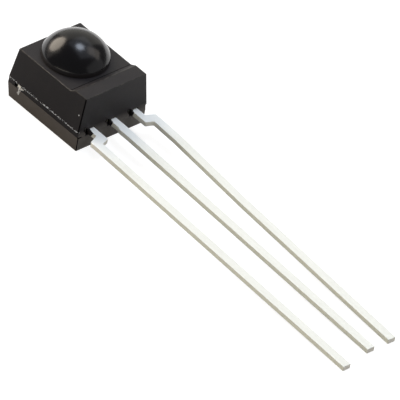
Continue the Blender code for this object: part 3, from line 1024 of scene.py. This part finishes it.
@dataclass
class LensDome(Piece):
    """The polished lens dome: a ball cap on a short upright skirt. Sizes are in mm."""

    radius: float = 2.285
    axis_y: float = 4.20        # from the lead end
    face: float = 3.74
    skirt: float = 0.34
    cap: float = 1.41
    crease: float = 0.16
    root: float = 0.12          # how deep the dome's mesh reaches into the box
    upright: float = 0.43       # faces whose normals rise less than this are the skirt's
    segments: int = 128
    rings: int = 96

    def build(self, *finishes: bpy.types.Material) -> bpy.types.Object:
        """Model the dome from a ball: cut its cap off, then draw the skirt down from the rim.

        Args:
            *finishes: materials of the polished cap and of the moulded skirt.

        Returns:
            The finished mesh in object mode.
        """
        ball = (self.radius ** 2 + self.cap ** 2) / (2.0 * self.cap)
        rim = self.face + self.skirt
        bpy.ops.object.select_all(action="DESELECT")
        bpy.ops.mesh.primitive_uv_sphere_add(
            segments=self.segments, ring_count=self.rings, radius=ball * MM,
            location=metres((0.0, NEAR_END + self.axis_y, rim + self.cap - ball)))
        self.item = open_piece("lens_dome")
        dress(self.item, *finishes)
        bisect((0.0, 0.0, rim), (0.0, 0.0, 1.0), cut_off=True)
        self.pick(Pick.FACE, lambda face: face.normal.z < -FACING)
        extrude(z=-self.skirt - self.root)
        self.pick(Pick.EDGE, lambda edge: all(at(vert.co.z, rim) for vert in edge.verts))
        bevel(self.crease, segments=5)
        self.assign(LensSlot.SKIRT, lambda face: abs(face.normal.z) < self.upright
                    and middle(face).z < rim)
        return self.close(smooth_angle=60.0)


# The lead frame


class LeadSlot(IntEnum):
    """Material slots of a lead."""

    ROLLED = 0
    SHEARED = 1
    CUT = 2


@dataclass
class StampedLead(Piece):
    """One lead with what it has inside the package, extruded section by section.

    Distances along the lead and places along Y are from the lead end, all in mm.
    """

    place: LeadPlace
    length: float
    inner_low: Span             # block inside the package: its lowest x and y
    inner_high: Span
    neck: Optional[Span] = None     # half width and start of the neck behind the die pad
    bends: tuple[Span, ...] = ()    # sideways bends, each a start along the lead and a slope
    tie_bar: Optional[Point] = None     # start and end along Y and reach along X of the tie bars
    exit_shift: float = 0.03    # how far the neck at the exit stands off its place along X
    exit_half: float = 0.25
    thickness: float = 0.36
    top: float = 1.42
    pitch: float = 2.54
    exit_pitch: float = 1.91
    half: float = 0.31
    outer_jog: Span = (0.75, 1.10)
    inner_jog: Span = (1.38, 1.62)
    jog_steps: int = 8
    jog_ease: float = 0.7       # how soft the jogs' ends are; 0 draws them straight
    bend_reach: float = 0.5     # sections stand this far before and after a bend
    run: Point = (3.0, 2.5, 0.5)    # sections of the straight run: start, step, least way to the tip
    droop_start: float = 1.8
    table_gap: float = 0.01
    edge_radius: float = 0.03
    upright: float = 0.6        # faces whose normals rise less than this were sheared

    @property
    def name(self) -> str:
        """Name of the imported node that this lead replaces."""
        return f"{self.place.name.lower()}_lead"

    def edge_x(self, distance: float, right: bool) -> float:
        """Where an edge of the lead is across the package.

        Args:
            distance: how far from the package, along the lead.
            right: the edge towards +X, or else the one towards -X.

        Returns:
            The edge's x in mm.
        """
        side = self.place.value
        outer = side == 0 or right == (side > 0)
        start, end = self.outer_jog if outer else self.inner_jog
        sign = 1.0 if right else -1.0
        root = side * self.exit_pitch + self.exit_shift + sign * self.exit_half
        lead = side * self.pitch + sign * self.half
        step = min(max((distance - start) / (end - start), 0.0), 1.0)
        ease = step + (step * step * (3.0 - 2.0 * step) - step) * self.jog_ease
        return root + (lead - root) * ease + self.shift(distance)

    def shift(self, distance: float) -> float:
        """How far the sideways bends have moved the lead at a distance."""
        return sum(slope * max(distance - start, 0.0) for start, slope in self.bends)

    def drop(self, distance: float) -> float:
        """How far the lead has sunk towards the table at a distance."""
        slope = (self.top - self.thickness - self.table_gap) / (self.length - self.droop_start)
        return slope * max(distance - self.droop_start, 0.0)

    def stations(self) -> list[float]:
        """Find the distances of the sections along the lead, close together where it changes.

        Returns:
            The distances, from the package outwards.
        """
        places = {0.0, self.droop_start, self.length}
        for start, end in (self.outer_jog, self.inner_jog):
            places.update(start + (end - start) * step / self.jog_steps
                          for step in range(self.jog_steps + 1))
        for start, _ in self.bends:
            places.update((start - self.bend_reach, start, start + self.bend_reach))
        first, gap, rest = self.run
        count = int((self.length - first - rest) / gap) + 1
        places.update(first + gap * step for step in range(count))
        return sorted(places)

    def build(self) -> bpy.types.Object:
        """Extrude the lead from the block inside the package to its tip.

        Returns:
            The finished mesh in object mode.
        """
        (left, y), (right, block_end) = self.inner_low, self.inner_high
        self.item = start_block(self.name + "_stamped",
                                (left, NEAR_END + y, self.top - self.thickness),
                                (right, NEAR_END + block_end, self.top))
        if self.tie_bar:
            self.draw_tie_bars()
        self.pick(Pick.FACE, lambda face: face.normal.y < -FACING
                  and abs(middle(face).y - NEAR_END - y) < CLOSE)
        strips = [(0.0, self.edge_x(0.0, False), self.edge_x(0.0, True))]
        if self.neck:
            half, start = self.neck
            strips.insert(0, (start, -half, half))
        for end, new_left, new_right in strips:
            extrude()
            resize(((new_right - new_left) / (right - left), 1.0, 1.0),
                   ((left + right) / 2.0, NEAR_END + y, 0.0))
            move(x=(new_left + new_right - left - right) / 2.0)
            extrude(y=end - y)
            left, right, y = new_left, new_right, end
        self.draw_run(left, right)
        self.close()
        self.modify("BEVEL", width=self.edge_radius * MM, segments=3, limit_method="ANGLE",
                    angle_limit=math.radians(45.0))
        self.sort_faces()
        return self.item

    def draw_run(self, left: float, right: float) -> None:
        """Extrude the lead's run from the package to its tip.

        Args:
            left: where its left edge is at the package, in mm.
            right: where its right edge is there.
        """
        distance = 0.0
        for place in self.stations()[1:]:
            new_left, new_right = self.edge_x(place, False), self.edge_x(place, True)
            extrude(x=(new_left + new_right - left - right) / 2.0, y=distance - place,
                    z=self.drop(distance) - self.drop(place))
            resize(((new_right - new_left) / (right - left), 1.0, 1.0),
                   ((new_left + new_right) / 2.0, 0.0, 0.0))
            left, right, distance = new_left, new_right, place

    def draw_tie_bars(self) -> None:
        """Extrude the tie bars from both sides of the die pad."""
        start, end, reach = self.tie_bar
        for y in (start, end):
            bisect((0.0, NEAR_END + y, 0.0), (0.0, 1.0, 0.0))
        for sign in (-1.0, 1.0):
            self.pick(Pick.FACE, lambda face: face.normal.x * sign > FACING
                      and start < middle(face).y - NEAR_END < end)
            extrude(x=sign * (reach - self.inner_high[0]))

    def sort_faces(self) -> None:
        """Give the sheared sides and the cut tip their own material slots."""
        tip = NEAR_END - self.length
        for face in self.item.data.polygons:
            if abs(face.normal.z) < self.upright:
                face.material_index = LeadSlot.CUT if at(face.center.y, tip) else LeadSlot.SHEARED


@dataclass
class PaintedPocketShade(Piece):
    """A thin dark epoxy wedge over a lead's left edge at its exit: painted shade of the lead's pocket.
    """

    place: LeadPlace
    reach: float                # how far along the lead, in mm
    edge: float                 # x of the lead's left edge
    width: float = 0.17         # how far over the top of the lead, at the package
    beyond: float = 0.02        # how far past the edge
    root: float = 0.2           # how deep its mesh reaches into the package
    low: float = 1.06
    high: float = 1.428
    taper: float = 0.9          # share of the width that is gone at its far end
    rise: float = 0.4           # share of the reach by which its foot falls back
    rounding: float = 0.006

    def build(self) -> bpy.types.Object:
        """Model a wedge from a block: its far end is drawn in to the lead's edge.

        Returns:
            The finished mesh in object mode.
        """
        start, inner = NEAR_END - self.reach, self.edge + self.width
        self.item = start_block(f"{self.place.name.lower()}_resin_bleed",
                                (self.edge - self.beyond, start, self.low),
                                (inner, NEAR_END + self.root, self.high))
        self.pick(Pick.VERT, lambda vert: at(vert.co.y, start) and at(vert.co.x, inner))
        move(x=-self.taper * self.width)
        self.pick(Pick.VERT, lambda vert: at(vert.co.y, start) and at(vert.co.z, self.low))
        move(y=self.rise * self.reach)
        self.pick(Pick.EDGE, lambda edge: True)
        bevel(self.rounding, segments=2)
        return self.close()


@dataclass
class TieBarBurr(Piece):
    """Ragged metal smeared down the package's side where the tie bar was cut off."""

    side: float = -2.985        # x of the wall it sticks to, in mm
    thickness: float = 0.03
    strip: Span = (5.0, 6.5)    # the strip that it is cut from, along Y from the lead end
    # Each level's height, and its start and end along Y from the lead end
    levels: tuple[Point, ...] = (
        (1.31, 5.40, 5.66), (1.25, 5.44, 5.90), (1.18, 5.60, 6.04), (1.10, 5.72, 6.00),
        (1.00, 5.67, 5.90), (0.87, 5.76, 5.93), (0.75, 5.77, 5.97), (0.63, 5.82, 5.89))

    def build(self) -> bpy.types.Object:
        """Cut a strip into levels and drag each level's ends to its ragged place.

        Returns:
            The finished mesh in object mode.
        """
        high, low = self.levels[0][0], self.levels[-1][0]
        near, far = self.strip
        self.item = start_block("tie_bar_burr",
                                (self.side - self.thickness / 2.0, NEAR_END + near, low),
                                (self.side + self.thickness / 2.0, NEAR_END + far, high))
        for level, _, _ in self.levels[1:-1]:
            bisect((0.0, 0.0, level), (0.0, 0.0, 1.0))
        for level, start, end in self.levels:
            for now, target in ((near, start), (far, end)):
                self.pick(Pick.VERT, lambda vert: at(vert.co.z, level)
                          and at(vert.co.y, NEAR_END + now))
                move(y=target - now)
        return self.close(smooth_angle=20.0)


# The studio


class LampShape(Enum):
    """Outline of a flat lamp, and how much of its rectangle it fills."""

    CARD = ("RECTANGLE", 1.0)
    ROUND = ("ELLIPSE", math.pi / 4.0)


@dataclass(frozen=True)
class Lamp:
    """A flat lamp that faces the package."""

    name: str
    azimuth: float              # degrees from -Y towards +X
    elevation: float            # degrees above the floor
    size: Span                  # width and height in mm
    radiance: float             # how bright its face is; 1 looks white
    colour: str
    distance: float = 600.0     # mm from the package
    shape: LampShape = LampShape.CARD

    def hang(self) -> None:
        """Hang the lamp in the studio."""
        kind, filled = self.shape.value
        turn, tilt = math.radians(self.azimuth), math.radians(self.elevation)
        way = Vector((math.sin(turn) * math.cos(tilt), -math.cos(turn) * math.cos(tilt),
                      math.sin(tilt)))
        data = bpy.data.lights.new(self.name, "AREA")
        data.shape = kind
        data.size, data.size_y = (value * MM for value in self.size)
        data.energy = self.radiance * math.pi * filled * data.size * data.size_y
        data.color = linear(self.colour)[:3]
        lamp = bpy.data.objects.new(self.name, data)
        lamp.location = (way * self.distance + Vector((0.0, NEAR_END, 0.0))) * MM
        lamp.rotation_euler = way.to_track_quat("Z", "Y").to_euler()
        bpy.context.scene.collection.objects.link(lamp)


LAMPS = (
    Lamp("warm_window", 192.0, 32.0, (430.0, 400.0), 6.8, "#FFF1DF", shape=LampShape.ROUND),
    Lamp("window_curtain", 198.0, 28.0, (560.0, 480.0), 0.6, "#FFF6EA", 620.0),
    Lamp("cool_top", 98.0, 78.5, (220.0, 204.0), 10.6, "#E4EEFF", shape=LampShape.ROUND),
    Lamp("ceiling_card", 84.0, 70.0, (900.0, 700.0), 0.62, "#EAF0FF", 700.0),
    Lamp("far_card", 130.0, 30.0, (1000.0, 800.0), 0.66, "#FFFBF0", 800.0),
    Lamp("side_card", 62.0, 44.0, (250.0, 380.0), 1.5, "#FFF4EA"),
    Lamp("low_card", -80.0, 5.0, (460.0, 100.0), 2.9, "#FFF6E4"),
    Lamp("front_card", 30.0, 20.0, (650.0, 330.0), 0.4, WHITE))


@dataclass(frozen=True)
class StudioPaper(Finish):
    """Uncoated white paper, rolled out as the floor.

    The eye sees plain white with a faint shadow; mirrored in the dome and the leads it is white too,
    but dim on the camera's side of the package, as painted shadow.
    """

    name: str = "studio_floor_paper"
    paper: str = "#9C9C9C"
    glow: float = 0.85          # what the paper adds to its own shade where it is seen
    ahead: Point = (0.746, 0.666, 0.0)      # level way from the camera to the package
    behind: Span = (7.2, 12.2)      # mm ahead where the painted shadow in mirrored paper gives way to white
    beside: Span = (7.5, 4.5)       # Y in mm where it does so along the leads

    def shade(self, tree: bpy.types.NodeTree) -> bpy.types.Node:
        """Add the nodes of the paper's own shade and of its glow to the camera and in mirrors.

        Args:
            tree: the material's nodes.

        Returns:
            The shader.
        """
        path = add_node(tree, "LightPath")
        place = millimetres(tree)
        ahead = add_node(tree, "VectorMath", {"operation": "DOT_PRODUCT", 1: self.ahead}, {0: place})
        behind = add_node(tree, "MapRange", {"From Min": self.behind[0], "From Max": self.behind[1]},
                          {"Value": ahead.outputs["Value"]})
        axes = add_node(tree, "SeparateXYZ", {}, {0: place})
        beside = add_node(tree, "MapRange", {"From Min": self.beside[0], "From Max": self.beside[1]},
                          {"Value": axes.outputs["Y"]})
        # painted shadow: mirrored paper is dim on the camera's side of the package, near it
        fade = add_node(tree, "Math", {"operation": "ADD", "use_clamp": True}, {0: behind, 1: beside})
        mirrored = add_node(tree, "Math", {"operation": "ADD", "use_clamp": True},
                            {0: path.outputs["Is Glossy Ray"], 1: path.outputs["Is Transmission Ray"]})
        mirrored = add_node(tree, "Math", {"operation": "MULTIPLY"}, {0: mirrored, 1: fade})
        glow = add_node(tree, "Math", {"operation": "MULTIPLY_ADD", 1: self.glow},
                        {0: path.outputs["Is Camera Ray"], 2: mirrored})
        glow = add_node(tree, "Emission", {"Color": linear(WHITE)}, {"Strength": glow})
        paper = add_node(tree, "BsdfDiffuse", {"Color": linear(self.paper)})
        return add_node(tree, "AddShader", {}, {0: paper, 1: glow})


@dataclass
class Studio:
    """Floor, lamps and camera."""

    azimuth: float = -48.27     # degrees, as the elevation and the roll
    elevation: float = 38.05
    roll: float = 10.83
    distance: float = 907.0     # mm from the lead end of the package to the camera
    scale: float = 15.39        # pixels per mm there
    aim: Span = (109.40, 136.11)    # pixel of the point at the lead end, on the back plane
    frame_width: int = 400      # pixels
    sensor: float = 36.0        # mm
    floor_size: float = 3.0     # metres
    room: float = 0.18          # how bright the room is; the camera sees it white

    def place_camera(self) -> None:
        """Stand the camera where the photograph was taken from."""
        turn, tilt, roll = map(math.radians, (self.azimuth, self.elevation, self.roll))
        right = Vector((math.cos(turn), math.sin(turn), 0.0))
        back = Vector((math.sin(turn) * math.cos(tilt), -math.cos(turn) * math.cos(tilt),
                       math.sin(tilt)))
        up = back.cross(right)
        right, up = (right * math.cos(roll) + up * math.sin(roll),
                     up * math.cos(roll) - right * math.sin(roll))
        across, down = ((pixel - self.frame_width / 2.0) / self.scale for pixel in self.aim)
        spot = back * self.distance - right * across + up * down + Vector((0.0, NEAR_END, 0.0))
        data = bpy.data.cameras.new("photo_camera")
        data.sensor_width = self.sensor
        data.lens = self.scale * self.distance / self.frame_width * self.sensor
        data.clip_start = 0.01
        camera = bpy.data.objects.new("photo_camera", data)
        turned = Matrix((right, up, back)).transposed().to_4x4()
        camera.matrix_world = Matrix.Translation(spot * MM) @ turned
        bpy.context.scene.collection.objects.link(camera)
        bpy.context.scene.camera = camera

    def lay_floor(self) -> None:
        """Lay the pale floor."""
        bpy.ops.object.select_all(action="DESELECT")
        bpy.ops.mesh.primitive_plane_add(size=self.floor_size, location=(0.0, 0.0, 0.0))
        floor = bpy.context.active_object
        floor.name = floor.data.name = "studio_floor"
        dress(floor, StudioPaper().make())

    def light(self) -> None:
        """Hang the lamps and set the room's dim grey."""
        for lamp in LAMPS:
            lamp.hang()
        world = bpy.data.worlds.new("studio_room")
        world.use_nodes = True
        background = world.node_tree.nodes["Background"]
        background.inputs["Color"].default_value = linear(WHITE)
        path = add_node(world.node_tree, "LightPath")
        level = add_node(world.node_tree, "MapRange", {"To Min": self.room, "To Max": 1.0},
                         {"Value": path.outputs["Is Camera Ray"]})
        world.node_tree.links.new(level.outputs[0], background.inputs["Strength"])
        bpy.context.scene.world = world

    def build(self) -> None:
        """Set up the whole studio."""
        self.place_camera()
        self.lay_floor()
        self.light()
        bpy.context.scene.view_settings.view_transform = "Standard"


# Everything together


@dataclass
class ReceiverModule:
    """The whole module: package, leads and what is sealed inside. Sizes are in mm."""

    short: float = 25.6         # length of the ground and supply leads from the package
    long: float = 26.1          # and of the output lead
    post: tuple[float, ...] = (1.39, 2.41, 0.55, 1.70)  # bond posts: inner and outer x, then Y

    def add_package(self) -> None:
        """Build and dress the moulded package."""
        front_half = MouldedEpoxy().make()
        # The back half is the same epoxy in lighter tones: painted bounce light from the floor.
        back_half = MouldedEpoxy("black_epoxy_back_half", dark="#524D49", light="#625D58",
                                 roughness=(0.56, 0.68)).make()
        # The wall at the leads gets painted bounce light, paler towards its foot.
        lead_end = MouldedEpoxy("black_epoxy_lead_end", painted_bounce_from=0.86, painted_bounce_to=1.64).make()
        shell, lens = PackageShell(), LensDome()
        # The rounded edges get a painted highlight, and the corners, the ramp's foot and the slit
        # painted shade.
        shell.build(front_half, PaintedEdgeHighlight().make(), back_half, PaintedShadeLine().make(), lead_end)
        shell.hand_over("black_epoxy", "package_body")
        # Dark epoxy wedges over the leads' left edges at the exits: painted shade of the pockets.
        for shade_wedge in (PaintedPocketShade(LeadPlace.OUTPUT, reach=0.5, edge=-2.10),
                      PaintedPocketShade(LeadPlace.GROUND, reach=0.3, edge=-0.22),
                      PaintedPocketShade(LeadPlace.SUPPLY, reach=0.24, edge=1.675)):
            dress(shade_wedge.build(), front_half)
            shade_wedge.hand_over("black_epoxy", "package_body")
        lens.build(PolishedEpoxy().make(), front_half)
        lens.hand_over("black_epoxy", "package_body")

    def add_leads(self) -> None:
        """Build and dress the three leads."""
        finishes = (TinPlating().make(), ShearedEdge().make(),
                    ShearedEdge("lead_cut_tip", dark="#CFC8B6", light="#FBF8EE").make())
        inner, outer, start, end = self.post
        for lead in (StampedLead(LeadPlace.OUTPUT, self.long, inner_low=(-outer, start),
                                 inner_high=(-inner, end), exit_shift=0.06),
                     StampedLead(LeadPlace.GROUND, self.short, inner_low=(-1.25, 2.0),
                                 inner_high=(1.25, 6.05), neck=(0.45, 1.3),
                                 tie_bar=(5.70, 6.00, 2.99), exit_shift=0.05, exit_half=0.27),
                     StampedLead(LeadPlace.SUPPLY, self.short, inner_low=(inner, start),
                                 inner_high=(outer, end), exit_shift=0.015,
                                 bends=((3.6, -0.048), (10.5, 0.0225)))):
            dress(lead.build(), *finishes)
            lead.hand_over("tin_plated_copper", lead.name)
        burr = TieBarBurr()
        # Torn metal whose near-black and near-white flecks are painted shade and glints of ragged
        # facets.
        torn_metal_and_painted_glints = ShearedEdge("tie_bar_torn_metal", dark="#2C2A28", light="#ECEAE4", painted_light="",
                                 metallic=0.5, roughness=0.35, pattern=9.0, relief=0.03,
                                 levels=(0.44, 0.52))
        dress(burr.build(), torn_metal_and_painted_glints.make())
        burr.hand_over("tin_plated_copper", "ground_lead")

    def dress_inside(self) -> None:
        """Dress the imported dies, glue and bond wires, which stay as they are."""
        made = {"silicon": TwoTone("silicon_polished", dark="#23252E", light="#3A3F4E",
                                   roughness=0.22, metallic=0.5, pattern=30.0).make(),
                "silver_epoxy": TwoTone("silver_epoxy_dispensed", dark="#8F8F8A", light="#BEBEB8",
                                        roughness=0.6, metallic=0.7, pattern=40.0).make(),
                "gold": TwoTone("gold_wire_drawn", dark="#D9A441", light="#F2CC74",
                                roughness=0.25, metallic=1.0, pattern=50.0).make()}
        slots = {row["node"]: row["material_slot"] for row in frame["record"]["subparts"]}
        for name, item in frame["nodes"].items():
            if slots[name] in made:
                dress(item, made[slots[name]])
                log.info("%s: dressed as %s", name, slots[name])


def main() -> None:
    """Build the module and the studio."""
    logging.basicConfig(level=logging.INFO, format="%(name)s: %(message)s")
    module = ReceiverModule()
    module.add_package()
    module.add_leads()
    module.dress_inside()
    Studio().build()


if __name__ == "__main__":
    main()
